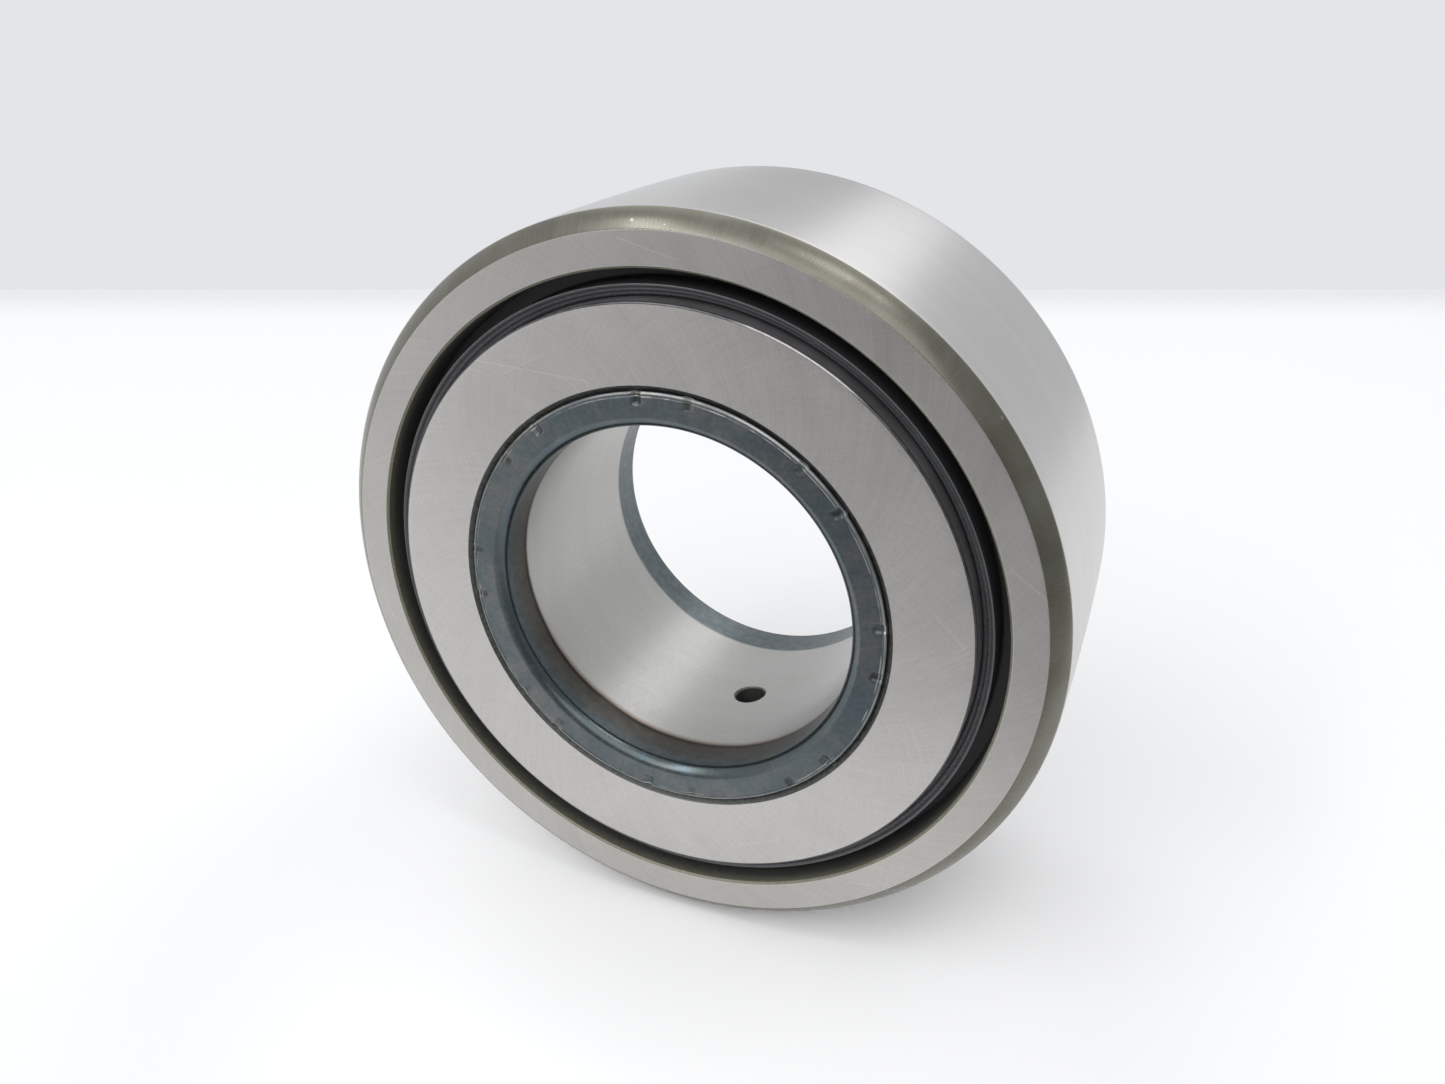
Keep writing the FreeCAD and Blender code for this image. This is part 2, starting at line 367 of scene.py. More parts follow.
def ground_face(name, colour, inner_r, outer_r, scratches):
    """A flat ring ground with fine, slightly curved lines that run outwards, with a soft satin shine."""
    t = Tree(name, metallic=1.0, roughness=0.36)
    first = t.streaks(t.turned(1.6, inner_r), 190.0, 0.2)
    second = t.streaks(t.turned(-2.4, inner_r), 120.0, 0.25)
    sweeps = t.streaks(t.turned(2.0, inner_r), 7.0, 0.05)
    grain = t.noise(t.place, 7.0, 3.0)
    clouds = t.noise(t.place, 0.11, 2.0)
    lines = t.total((first, 0.35), (second, 0.25), (grain, 0.4))
    base = t.tint(colour, lines, 0.9, 1.08)
    base = t.tint(base, sweeps, 0.98, 1.015)
    base = t.mix(t.ramp(clouds, 0.35, 0.7, 0.0, 0.2), base, (0.83, 0.8, 0.77), "MULTIPLY")
    outer_edge = t.ramp(t.radius, outer_r - 0.1, outer_r)
    inner_edge = t.ramp(t.radius, inner_r + 0.1, inner_r)
    worn = t.math("MULTIPLY", t.math("MAXIMUM", outer_edge, inner_edge), 0.2)
    for start, end, strength in scratches:
        worn = t.math("MAXIMUM", worn, t.math("MULTIPLY", t.scratch(start, end, 0.07), strength))
    t.paint(t.mix(worn, base, (0.82, 0.81, 0.79)))
    t.rough(t.total((lines, 0.7), (sweeps, 0.3)), 0.31, 0.42)
    t.bump(lines, 0.0022)
    return t.material


def turned_corner(name):
    """Olive-brown heat-treatment skin on a turned chamfer, with fine tool lines and chatter marks."""
    t = Tree(name, metallic=0.85, roughness=0.26)
    lines = t.rings(7.0, 3.0)
    chatter = t.noise(t.vector("SCALE", t.clock, scale=190.0), 1.0, 1.0)
    clouds = t.noise(t.place, 0.22, 4.0, 0.55, 0.4)
    base = t.mix(t.ramp(clouds, 0.35, 0.68), (0.192, 0.188, 0.158), (0.165, 0.157, 0.126))
    base = t.tint(base, t.total((lines, 0.4), (chatter, 0.6)), 0.965, 1.035)
    worn = t.ramp(t.radius, OUTER_R - 0.24, OUTER_R - 0.15)
    worn = t.math("MULTIPLY", worn, 0.5)
    for angle, radius, along, size in CORNER_NICKS:
        worn = t.math("MAXIMUM", worn, t.nick(angle, radius, along, size))
    t.paint(t.mix(worn, base, (0.42, 0.42, 0.4)))
    t.rough(chatter, 0.25, 0.31)
    t.bump(t.total((lines, 0.2), (chatter, 0.8)), 0.0002)
    return t.material


def ground_outside(name, colour):
    """The rolling surface: satin, with even fine lines around it, and a few faint handling marks."""
    t = Tree(name, metallic=1.0, roughness=0.3)
    lines = t.rings(11.0, 1.6, 3.0)
    broad = t.rings(0.5, 1.2, 2.0)
    grain = t.noise(t.place, 4.0, 4.0)
    marks = t.ramp(t.spots(t.vector("MULTIPLY", t.place, (1, 0.55, 1)), 0.32), 0.05, 0.02)
    base = t.tint(colour, t.total((lines, 0.4), (grain, 0.6)), 0.965, 1.025)
    base = t.mix(t.ramp(broad, 0.35, 0.7, 0.0, 0.2), base, (0.84, 0.82, 0.79), "MULTIPLY")
    t.paint(t.mix(t.math("MULTIPLY", marks, 0.3), base, (0.4, 0.39, 0.37)))
    t.rough(t.total((lines, 0.3), (grain, 0.7)), 0.29, 0.36)
    t.bump(t.total((lines, 0.6), (grain, 0.4)), 0.0015)
    t.brushed(0.35)
    return t.material


def seat_with_painted_shade(name):
    """The turned recess that holds the seal: olive oxide at its mouth, painted darker further in as shade."""
    t = Tree(name, metallic=0.3, roughness=0.5)
    depth = t.math("SUBTRACT", RING_FACE, t.math("ABSOLUTE", t.along))
    grain = t.noise(t.place, 3.0, 4.0)
    # Painted shade: the colour darkens from olive to near black with depth into the recess.
    base = t.mix(t.ramp(depth, 0.1, 1.6), (0.2, 0.197, 0.15), (0.105, 0.104, 0.098))
    t.paint(t.tint(base, grain, 0.85, 1.15))
    t.rough(grain, 0.38, 0.55)
    t.bump(t.total((t.rings(7.0, 2.0), 0.7), (grain, 0.3)), 0.006)
    return t.material


def bright_race(name):
    """A hardened and honed raceway, seen only when the roller is opened."""
    t = Tree(name, metallic=1.0, roughness=0.16)
    lines = t.rings(16.0, 2.0)
    t.paint(t.tint((0.7, 0.7, 0.7), lines, 0.92, 1.05))
    t.rough(lines, 0.12, 0.2)
    t.bump(lines, 0.001)
    t.brushed(0.3)
    return t.material


def tempered_colour(t):
    """Slate-grey oxide with soft blue, teal and grey clouds, in linear colour."""
    clouds = t.noise(t.place, 0.3, 3.0, 0.5, 0.5)
    second = t.noise(t.vector("ADD", t.place, (40, 0, 0)), 0.45, 3.0, 0.5, 0.5)
    fine = t.noise(t.place, 2.4, 4.0, 0.6)
    base = t.mix(t.ramp(clouds, 0.35, 0.65), (0.112, 0.133, 0.146), (0.15, 0.16, 0.16))
    base = t.mix(t.ramp(second, 0.5, 0.7, 0.0, 0.6), base, (0.1, 0.142, 0.15))
    return t.tint(base, fine, 0.9, 1.1), fine


def tempered_end(name):
    """The staked end of the inner ring, slate-grey from heat, painted bright along the punch's circles as real
    rubbing and painted highlight, and painted dark inside its dents as shade."""
    t = Tree(name, metallic=0.85, roughness=0.36)
    base, fine = tempered_colour(t)
    turned = t.math("MULTIPLY", t.math("ARCTAN2", t.height, t.across), 180 / math.pi)
    from_stake = t.math("PINGPONG", turned, 180 / STAKE_COUNT)
    from_dent = t.math("ABSOLUTE", t.math("SUBTRACT", from_stake, STAKE_HALF_ANGLE))
    beside = t.math("MULTIPLY", t.math("MULTIPLY", from_dent, t.radius), math.pi / 180)
    # Painted shade: the insides of the punch's dents are painted near black.
    outwards = t.ramp(t.radius, DENT_START_R, DENT_START_R + 0.35)
    inside = t.math("MULTIPLY", t.ramp(beside, 0.5, 0.15), outwards)
    dent_painted_shade = t.ramp(t.noise(t.clock, 6.0, 1.0), 0.35, 0.65, 0.15, 0.8)
    base = t.mix(t.math("MULTIPLY", inside, dent_painted_shade), base, (0.045, 0.049, 0.048))
    base = t.tint(base, t.streaks(t.place, 60.0, 0.3), 0.96, 1.04)
    # Painted shade: the end is painted darker on one side, around the given angle, where less light falls on
    # it.
    painted_end_shade = t.ramp(t.nearness(END_SHADE_ANGLE), 0.2, 1.0, 0.0, 0.75)
    base = t.mix(painted_end_shade, base, (0.64, 0.66, 0.68), "MULTIPLY")
    # The bright lines along the punch's circles are partly real rubbing and partly painted highlight.
    patches = t.ramp(t.noise(t.clock, 3.2, 3.0), 0.4, 0.58, 0.45, 1.0)
    others = t.ramp(t.noise(t.clock, 5.1, 3.0), 0.46, 0.56)
    rim = t.math("MULTIPLY", t.band(t.radius, LIP_R - 0.13, 0.04, 0.08), patches)
    step = t.math("MULTIPLY", t.band(t.radius, PUNCH_STEP_R, 0.02, 0.06), others)
    t.paint(t.mix(t.total((rim, 0.6), (step, 0.5)), base, (0.6, 0.585, 0.55)))
    t.rough(fine, 0.3, 0.44)
    t.bump(t.total((fine, 0.7), (t.noise(t.place, 0.8, 2.0), 0.3)), 0.012)
    return t.material


def tempered_mouth(name):
    """The rounded mouth of the bore, bluer and smoother than the end face."""
    t = Tree(name, metallic=0.9, roughness=0.3)
    base, fine = tempered_colour(t)
    clouds = t.noise(t.clock, 4.0, 3.0)
    bluer = t.mix(t.ramp(clouds, 0.35, 0.65), t.mix(0.6, base, (0.075, 0.105, 0.13)), (0.09, 0.108, 0.105))
    t.paint(t.mix(t.ramp(t.radius, BORE_R + BORE_MOUTH_WIDTH, BORE_R + 0.3), base, bluer))
    t.rough(fine, 0.2, 0.28)
    t.bump(fine, 0.0008)
    return t.material


def ground_bore(name, colour):
    """Bright ground bore whose ends are tinted by heat: blue-grey, then brown, ending in a dark line."""
    t = Tree(name, metallic=1.0, roughness=0.3)
    lines = t.rings(10.0, 2.2, 3.0)
    broad = t.rings(0.35, 1.5, 2.0)
    grain = t.noise(t.place, 3.5, 4.0)
    bright = t.tint(colour, t.total((lines, 0.5), (grain, 0.5)), 0.93, 1.055)
    bright = t.mix(t.ramp(broad, 0.35, 0.7, 0.0, 0.22), bright, (0.84, 0.82, 0.79), "MULTIPLY")
    depth = t.math("SUBTRACT", END, t.math("ABSOLUTE", t.along))
    wander = t.noise(t.clock, 2.6, 3.0)
    edge = t.math("ADD", depth, t.ramp(wander, 0.3, 0.7, -0.07, 0.07))
    tint, fine = tempered_colour(t)
    bluer = t.mix(0.6, tint, (0.07, 0.09, 0.1))
    tint = t.mix(t.ramp(edge, BORE_MOUTH_LENGTH, 2.6), bluer, (0.082, 0.082, 0.076))
    front = t.ramp(t.along, 2.0, -2.0, 0.0, 1.0)
    brown = t.math("MULTIPLY", t.ramp(edge, 2.4, TINT_LENGTH - 0.6), front)
    tint = t.mix(brown, tint, (0.07, 0.063, 0.054))
    back = t.ramp(t.along, 5.0, 9.0)
    tint = t.mix(back, tint, (0.13, 0.152, 0.16))
    line = t.band(edge, TINT_LENGTH - 0.2, 0.1, 0.35)
    dark = t.math("MULTIPLY", line, t.ramp(wander, 0.3, 0.6, 0.5, 1.0))
    tint = t.mix(t.math("MULTIPLY", dark, front), tint, (0.032, 0.024, 0.018))
    tint = t.tint(tint, t.total((lines, 0.4), (t.noise(t.place, 1.2, 3.0), 0.6)), 0.8, 1.2)
    below = t.ramp(t.nearness(STRAW_ANGLE), 0.3, 0.8, 0.0, 0.6)
    straw = t.math("MULTIPLY", t.band(edge, TINT_LENGTH + 0.1, 0.1, 0.45), below)
    bright = t.mix(t.math("MULTIPLY", straw, front), bright, (0.23, 0.165, 0.115))
    t.paint(t.mix(t.ramp(edge, TINT_LENGTH + 0.3, TINT_LENGTH - 0.2), bright, tint))
    t.rough(t.total((lines, 0.3), (fine, 0.7)), 0.28, 0.38)
    t.bump(t.total((lines, 0.7), (grain, 0.3)), 0.0018)
    t.brushed(0.35)
    return t.material


def drilled(name, colour):
    """A surface of the grease hole: dull, dark and slightly green."""
    t = Tree(name, metallic=0.2, roughness=0.7)
    grain = t.noise(t.place, 3.0, 4.0)
    t.paint(t.tint(colour, grain, 0.75, 1.25))
    t.rough(grain, 0.6, 0.8)
    t.bump(grain, 0.01)
    return t.material


def shaded_gap(name):
    """Steel inside the narrow gap between plate and inner ring, painted dark as shade."""
    t = Tree(name, metallic=0.5, roughness=0.55)
    grain = t.noise(t.place, 2.5, 4.0)
    # Painted shade: the gap's steel is painted near black.
    t.paint(t.tint((0.075, 0.08, 0.074), grain, 0.65, 1.4))
    t.rough(grain, 0.45, 0.65)
    t.bump(grain, 0.015)
    return t.material


def plate_rim(name):
    """The plate's rim, dark violet-grey where the seal runs on it."""
    t = Tree(name, metallic=0.9, roughness=0.28)
    lines = t.rings(10.0, 3.0)
    patches = t.noise(t.clock, 6.0, 3.0)
    base = t.tint((0.42, 0.405, 0.42), lines, 0.9, 1.1)
    t.paint(t.tint(base, patches, 0.85, 1.15))
    t.rough(lines, 0.34, 0.44)
    t.bump(lines, 0.002)
    return t.material


def plate_edge(name):
    """The plate's small rounded edge, dark all round, and painted bright over one stretch so that its glint
    shows only there: a painted highlight.
    """
    t = Tree(name, metallic=1.0, roughness=0.26)
    patches = t.noise(t.place, 1.1, 3.0)
    # Painted highlight: the edge is painted bright over one stretch around the given angle.
    bright = t.ramp(t.nearness(PLATE_HIGHLIGHT_ANGLE), math.cos(math.radians(14)), math.cos(math.radians(7)))
    t.paint(t.tint(t.mix(bright, (0.12, 0.115, 0.12), (0.44, 0.42, 0.43)), patches, 0.8, 1.2))
    t.rough(patches, 0.3, 0.4)
    t.bump(patches, 0.002)
    return t.material


def seal_rubber(name, colour, roughness, specular):
    """Moulded rubber with a soft sheen, fine mould lines around it and a little dust."""
    t = Tree(name, metallic=0.0, roughness=roughness, specular=specular)
    lines = t.circles(7.0, 1.5)
    grain = t.noise(t.place, 7.0, 3.0)
    dust = t.ramp(t.noise(t.place, 1.3, 5.0, 0.7), 0.58, 0.75)
    base = t.tint(colour, grain, 0.85, 1.2)
    t.paint(t.mix(t.math("MULTIPLY", dust, 0.15), base, (0.12, 0.12, 0.115)))
    t.rough(t.total((grain, 0.5), (lines, 0.5)), roughness - 0.06, roughness + 0.06)
    t.bump(t.total((lines, 0.7), (grain, 0.3)), 0.004)
    return t.material


def pressed_insert(name):
    """Phosphated sheet steel inside the seal."""
    t = Tree(name, metallic=0.8, roughness=0.5)
    grain = t.noise(t.place, 2.0, 5.0)
    t.paint(t.tint((0.18, 0.185, 0.18), grain, 0.7, 1.3))
    t.rough(grain, 0.42, 0.6)
    t.bump(grain, 0.008)
    return t.material


def moulded_cage(name):
    """Green-grey glass-filled polyamide with flow marks."""
    t = Tree(name, metallic=0.0, roughness=0.5)
    flow = t.noise(t.vector("MULTIPLY", t.place, (1, 0.25, 1)), 0.6, 5.0, 0.6, 1.2)
    grain = t.noise(t.place, 6.0, 3.0)
    t.paint(t.tint((0.11, 0.16, 0.12), t.total((flow, 0.7), (grain, 0.3)), 0.75, 1.25))
    t.rough(grain, 0.42, 0.58)
    t.bump(t.total((grain, 0.6), (flow, 0.4)), 0.01)
    return t.material


def polished_needle(name):
    """Lapped needle steel with a light film of oil."""
    t = Tree(name, metallic=1.0, roughness=0.12)
    film = t.noise(t.place, 0.8, 4.0)
    lines = t.noise(t.vector("MULTIPLY", t.place, (1, 9, 1)), 1.0, 2.0)
    t.paint(t.tint((0.74, 0.73, 0.72), film, 0.92, 1.04))
    t.rough(film, 0.09, 0.18)
    t.bump(lines, 0.0006)
    return t.material


# ---------------------------------------------------------------- turned meshes


def arc(centre, radius, start, end, steps):
    """Points of a profile's arc, between two angles. 0 points away from the bore, 90 to the rear."""
    points = []
    for i in range(steps + 1):
        angle = math.radians(start + (end - start) * i / steps)
        points.append((centre[0] + radius * math.cos(angle), centre[1] + radius * math.sin(angle)))
    return points


def run(start, end, longest):
    """Points along a straight stretch of profile, no further apart than longest."""
    length = math.dist(start, end)
    steps = max(1, math.ceil(length / longest))
    return [tuple(a + (b - a) * i / steps for a, b in zip(start, end)) for i in range(steps + 1)]


def at_rear(bands):
    """The bands of a front profile, mirrored to the rear, still in order around the section."""
    return [([(r, -y) for r, y in reversed(points)], material) for points, material in reversed(bands)]


def body_of(node):
    bodies = frame["record"]["behaviour"]["bodies"]
    return next(body for body, nodes in bodies.items() if node in nodes)


def turned_piece(name, bands, node, segments=SEGMENTS, shape=None):
    """A smooth turned mesh that stands for a CAD node. bands are (points, material) pairs, each
    starting where the one before ends, and the first where the last ends. shape moves a point, given
    its radius, place and angle."""
    profile, owners = [], []
    materials = []
    for points, material in bands:
        if material not in materials:
            materials.append(material)
        for point in points[:-1]:
            profile.append(point)
            owners.append(materials.index(material))
    vertices, faces, slots = [], [], []
    for s in range(segments):
        angle = 2 * math.pi * s / segments
        for radius, along in profile:
            r, y = shape(radius, along, angle) if shape else (radius, along)
            vertices.append((r * math.cos(angle) * MM, y * MM, r * math.sin(angle) * MM))
    count = len(profile)
    for s in range(segments):
        here, there = s * count, (s + 1) % segments * count
        for i in range(count):
            j = (i + 1) % count
            faces.append((here + i, here + j, there + j, there + i))
            slots.append(owners[i])
    mesh = bpy.data.meshes.new(name)
    mesh.from_pydata(vertices, [], faces)
    for material in materials:
        mesh.materials.append(material)
    mesh.polygons.foreach_set("material_index", slots)
    mesh.polygons.foreach_set("use_smooth", [True] * len(faces))
    mesh.validate()
    mesh.update()
    piece = bpy.data.objects.new(name, mesh)
    bpy.context.scene.collection.objects.link(piece)
    mesh.set_sharp_from_angle(angle=math.radians(SHARP_ANGLE))
    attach(piece, body_of(node))
    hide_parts(node)
    return piece


def worn(bands, *reaches):
    """Rounds the corners where one band meets the next, by easing both sides back by a reach for each."""
    for (first, _), (second, _), reach in zip(bands, bands[1:], reaches):
        corner = Vector(first[-1])
        ends = []
        for points, inwards in ((first, -1), (second, 1)):
            index = -1 if inwards < 0 else 0
            while len(points) > 2 and (Vector(points[index + inwards]) - corner).length <= reach:
                points.pop(index)
            ends.append(corner + (Vector(points[index + inwards]) - corner).normalized() * reach)
        curve = []
        for step in range(9):
            share = step / 8
            first_half = ends[0].lerp(corner, share)
            curve.append(tuple(first_half.lerp(corner.lerp(ends[1], share), share)))
        first[-1:] = curve[:5]
        second[:1] = curve[4:]
    return bands


def bulging(start, end, bulge, steps=12):
    """Points of a shallow arc from start to end that stands out by bulge in the middle."""
    start, end = Vector(start), Vector(end)
    side = (end - start).orthogonal().normalized()
    points = []
    for i in range(steps + 1):
        share = i / steps
        points.append(tuple(start.lerp(end, share) + side * bulge * 4 * share * (1 - share)))
    return points


def outer_ring_bands(face, corner, outside, seat, race):
    tread_end = RING_FACE - CORNER_CHAMFER
    tread = []
    for i in range(9):
        along = tread_end * i / 8
        tread.append((OUTER_R - along**2 / (2 * CROWN_RADIUS), -along))
    face_edge = (tread[-1][0] - CORNER_CHAMFER, -RING_FACE)
    seat_edge = (SEAT_R + SEAT_CHAMFER, -RING_FACE)
    seat_start = (SEAT_R, SEAT_CHAMFER - RING_FACE)
    shoulder_end = OUTER_RACE_R + SHOULDER_ROUNDING
    rounding = arc((shoulder_end, SHOULDER_ROUNDING - SEAT_SHOULDER), SHOULDER_ROUNDING, -90, -180, 5)
    outside_bands = worn([
        (tread, outside),
        (bulging(tread[-1], face_edge, CORNER_BULGE), corner),
        (run(face_edge, seat_edge, 0.6), face),
        (run(seat_edge, seat_start, 0.3), seat),
    ], 0.25, 0.16, WORN_EDGE)
    return outside_bands + [
        (run(seat_start, (SEAT_R, -GROOVE_FLOOR), 0.8), seat),
        (run((SEAT_R, -GROOVE_FLOOR), (SEAL_GROOVE_INNER_R, -GROOVE_FLOOR), 1.0), race),
        (run((SEAL_GROOVE_INNER_R, -GROOVE_FLOOR), (SEAL_GROOVE_INNER_R, -SEAT_SHOULDER), 1.0), race),
        (run((SEAL_GROOVE_INNER_R, -SEAT_SHOULDER), rounding[0], 1.5), race),
        (rounding, race),
        (run(rounding[-1], (OUTER_RACE_R, 0.0), 3.0), race),
    ]


def plate_bands(face, edge, rim, gap, race):
    mouth_depth = PLATE_MOUTH_R - PLATE_BORE_R
    return [
        (run((PLATE_R, -PLATE_INNER_FACE), (PLATE_R, PLATE_EDGE - END), 0.7), rim),
        (arc((PLATE_R - PLATE_EDGE, PLATE_EDGE - END), PLATE_EDGE, 0, -90, 6), edge),
        (run((PLATE_R - PLATE_EDGE, -END), (PLATE_MOUTH_R + WORN_EDGE, -END), 0.7), face),
        (run((PLATE_MOUTH_R + WORN_EDGE, -END), (PLATE_MOUTH_R, WORN_EDGE - END), 0.1), edge),
        (run((PLATE_MOUTH_R, WORN_EDGE - END), (PLATE_BORE_R, mouth_depth - END), 0.3), gap),
        (run((PLATE_BORE_R, mouth_depth - END), (PLATE_BORE_R, -PLATE_INNER_FACE), 1.5), gap),
        (run((PLATE_BORE_R, -PLATE_INNER_FACE), (PLATE_R, -PLATE_INNER_FACE), 2.0), race),
    ]


def seal_bands(rubber, lip):
    """A flat body, and a tall lip with a straight outer side and a ridged top that slopes to its tip."""
    face = SEAL_FACE_DEPTH - END
    crest = Vector((SEAL_CREST_R, SEAL_CREST_DEPTH - END))
    tip = Vector((PLATE_R + SEAL_LIP_CLEARANCE, SEAL_TIP_DEPTH - END))
    root_r = SEAL_CREST_R - SEAL_LIP_THICKNESS
    small = SEAL_CREST_ROUNDING
    root = SEAL_ROOT_ROUNDING
    outline = run((SEAT_R, -GROOVE_FLOOR), (SEAT_R, face), 0.6)
    outline += run((SEAT_R, face), (crest.x + root, face), 0.5)[1:]
    outline += arc((crest.x + root, face - root), root, 90, 180, 5)[1:]
    outline += run((crest.x, face - root), (crest.x, crest.y + small), 0.5)[1:]
    outline += arc((crest.x - small, crest.y + small), small, 0, -45, 3)[1:]
    top = [outline[-1]] + arc((crest.x - small, crest.y + small), small, -45, -132, 6)[1:]
    slope = tip - crest
    above = Vector((-slope.y, slope.x)).normalized()
    steps = 12 * SEAL_RIDGES
    for i in range(3, steps + 1):
        wave = 0.5 - 0.5 * math.cos(2 * math.pi * SEAL_RIDGES * i / steps)
        top.append(tuple(crest + slope * i / steps + above * SEAL_RIDGE_HEIGHT * wave))
    tip_foot = tip.y + SEAL_TIP_WIDTH
    underside = [top[-1], (tip.x, tip_foot), (root_r, tip_foot + root_r - tip.x)]
    underside += [(root_r, -GROOVE_FLOOR), outline[0]]
    return [(outline, rubber), (top, lip), (underside, rubber)]


def inner_ring_bands(end, mouth, bore, gap, race):
    mouth_depth = PLATE_MOUTH_R - PLATE_BORE_R
    contact = LIP_CONTACT_SHARE * mouth_depth
    lip_side = (PLATE_BORE_R + contact, mouth_depth - contact - END)
    lip_edge = (LIP_R, LIP_EDGE - END)
    flat_edge = (LIP_R - LIP_EDGE, -END)
    dents_edge = (DENT_START_R - 0.2, -END)
    mouth_edge = (BORE_R + BORE_MOUTH_WIDTH, -END)
    bore_edge = (BORE_R, BORE_MOUTH_LENGTH - END)
    inside = worn([
        (run(dents_edge, mouth_edge, 0.25), end),
        (bulging(mouth_edge, bore_edge, BORE_MOUTH_BULGE, 16), mouth),
        (run(bore_edge, (BORE_R, 0.0), 0.5), bore),
    ], 0.12, 0.12)
    return [
        (run((INNER_RACE_R, 0.0), (INNER_RACE_R, -PLATE_INNER_FACE), 2.0), race),
        ([(INNER_RACE_R, -PLATE_INNER_FACE), (PLATE_BORE_R, -PLATE_INNER_FACE)], race),
        (run((PLATE_BORE_R, -PLATE_INNER_FACE), (PLATE_BORE_R, mouth_depth - END), 1.5), gap),
        ([(PLATE_BORE_R, mouth_depth - END), lip_side], gap),
        (run(lip_side, lip_edge, 0.08), gap),
        (run(lip_edge, flat_edge, 0.07), end),
        (run(flat_edge, dents_edge, 0.07), end),
    ] + inside


def smooth(value, low, high):
    share = min(1.0, max(0.0, (value - low) / (high - low)))
    return share * share * (3 - 2 * share)


STAKE_ANGLES = [
    math.radians(stake * 360 / STAKE_COUNT + corner)
    for stake in range(STAKE_COUNT)
    for corner in (-STAKE_HALF_ANGLE, STAKE_HALF_ANGLE)
]


def staked(radius, along, angle):
    """Dents of the staking punch in the ends of the inner ring: grooves that push the edge outwards, some
    struck harder than others."""
    below_face = END - abs(along)
    if radius < DENT_START_R or below_face > DENT_LENGTH or radius > LIP_R + 0.01:
        return radius, along
    apart = [(abs((angle - mark + math.pi) % (2 * math.pi) - math.pi), mark) for mark in STAKE_ANGLES]
    nearest, mark = min(apart)
    force = 0.7 + 0.3 * math.cos(11 * mark)
    across = nearest * radius / DENT_HALF_WIDTH
    groove = 1 - smooth(across, 0.15, 1.0)
    inwards = smooth(radius, DENT_START_R, DENT_FULL_R) * (1 - smooth(below_face, 0.2, DENT_LENGTH))
    step = smooth(radius, PUNCH_STEP_R - 0.05, PUNCH_STEP_R)
    step -= smooth(radius, PUNCH_STEP_R, PUNCH_STEP_R + 0.12)
    drop = DENT_DEPTH * force * groove * inwards + PUNCH_STEP * step
    bulge = DENT_BULGE * (1 - smooth(across, 0.2, 1.3)) * smooth(radius, DENT_FULL_R, LIP_R)
    return radius + bulge, along - math.copysign(drop, along)


def drill(piece, radius, angle, reach, mouth, wall):
    """Cuts the radial grease hole, with a small chamfer at the bore."""
    direction = Vector((math.cos(math.radians(angle)), 0, math.sin(math.radians(angle))))
    turn = UP.rotation_difference(direction).to_matrix().to_4x4()
    mouth_r = radius + OIL_HOLE_CHAMFER
    levels = [
        (mouth_r + 1.0, BORE_R - radius),
        (mouth_r, BORE_R - 0.06),
        (radius, BORE_R + OIL_HOLE_CHAMFER),
        (radius, reach),
    ]
    steps = 96
    vertices, faces = [], []
    for ring_r, height in levels:
        for s in range(steps):
            turned = 2 * math.pi * s / steps
            vertices.append((ring_r * math.cos(turned) * MM, ring_r * math.sin(turned) * MM, height * MM))
    for level in range(len(levels) - 1):
        for s in range(steps):
            a, b = level * steps + s, level * steps + (s + 1) % steps
            faces.append((a, b, b + steps, a + steps))
    walls_from = (len(levels) - 2) * steps
    faces.append(tuple(reversed(range(steps))))
    faces.append(tuple(range((len(levels) - 1) * steps, len(levels) * steps)))
    mesh = bpy.data.meshes.new("drill")
    mesh.from_pydata(vertices, [], faces)
    mesh.materials.append(mouth)
    mesh.materials.append(wall)
    for face in mesh.polygons:
        face.material_index = int(face.index >= walls_from)
    tool = bpy.data.objects.new("drill", mesh)
    tool.matrix_world = turn
    bpy.context.scene.collection.objects.link(tool)
    cut = piece.modifiers.new("hole", "BOOLEAN")
    cut.operation = "DIFFERENCE"
    cut.solver = "EXACT"
    cut.object = tool
    cut.material_mode = "TRANSFER"
    bpy.context.view_layer.update()
    with bpy.context.temp_override(object=piece, active_object=piece, selected_objects=[piece]):
        bpy.ops.object.modifier_apply(modifier=cut.name)
    bpy.data.objects.remove(tool)


# ---------------------------------------------------------------- the object

face_metal = ground_face(
    "ring_face_metal",
    (0.505, 0.49, 0.47),
    SEAT_R + SEAT_CHAMFER,
    OUTER_R - CORNER_CHAMFER,
    FACE_SCRATCHES,
)
plate_metal = ground_face(
    "plate_face_metal",
    (0.56, 0.546, 0.528),
    PLATE_MOUTH_R,
    PLATE_R,
    PLATE_SCRATCHES,
)
race_metal = bright_race("race_metal")
gap_metal = shaded_gap("gap_metal")
edge_metal = plate_edge("plate_edge_metal")
rim_metal = plate_rim("plate_rim_metal")
rubber = seal_rubber("seal_rubber", (0.042, 0.043, 0.046), 0.45, 0.5)
# The lip's slope is a lighter copy of the seal rubber: the extra lightness is painted sheen.
lip_rubber = seal_rubber("lip_rubber", (0.085, 0.089, 0.093), 0.3, 0.8)

ring_bands = outer_ring_bands(
    face_metal,
    turned_corner("corner_metal"),
    ground_outside("outside_metal", (0.6, 0.595, 0.585)),
    seat_with_painted_shade("seat_metal"),
    race_metal,
)
turned_piece("outer_ring_look", ring_bands + at_rear(ring_bands), "outer_ring")

bore_metal = ground_bore("bore_metal", (0.44, 0.435, 0.42))
inner_bands = inner_ring_bands(
    tempered_end("tempered_metal"),
    tempered_mouth("mouth_metal"),
    bore_metal,
    gap_metal,
    race_metal,
)
inner_bands += at_rear(inner_bands)
inner = turned_piece("inner_ring_look", inner_bands, "inner_ring", FINE_SEGMENTS, staked)
hole_mouth = drilled("hole_mouth", (0.17, 0.175, 0.165))
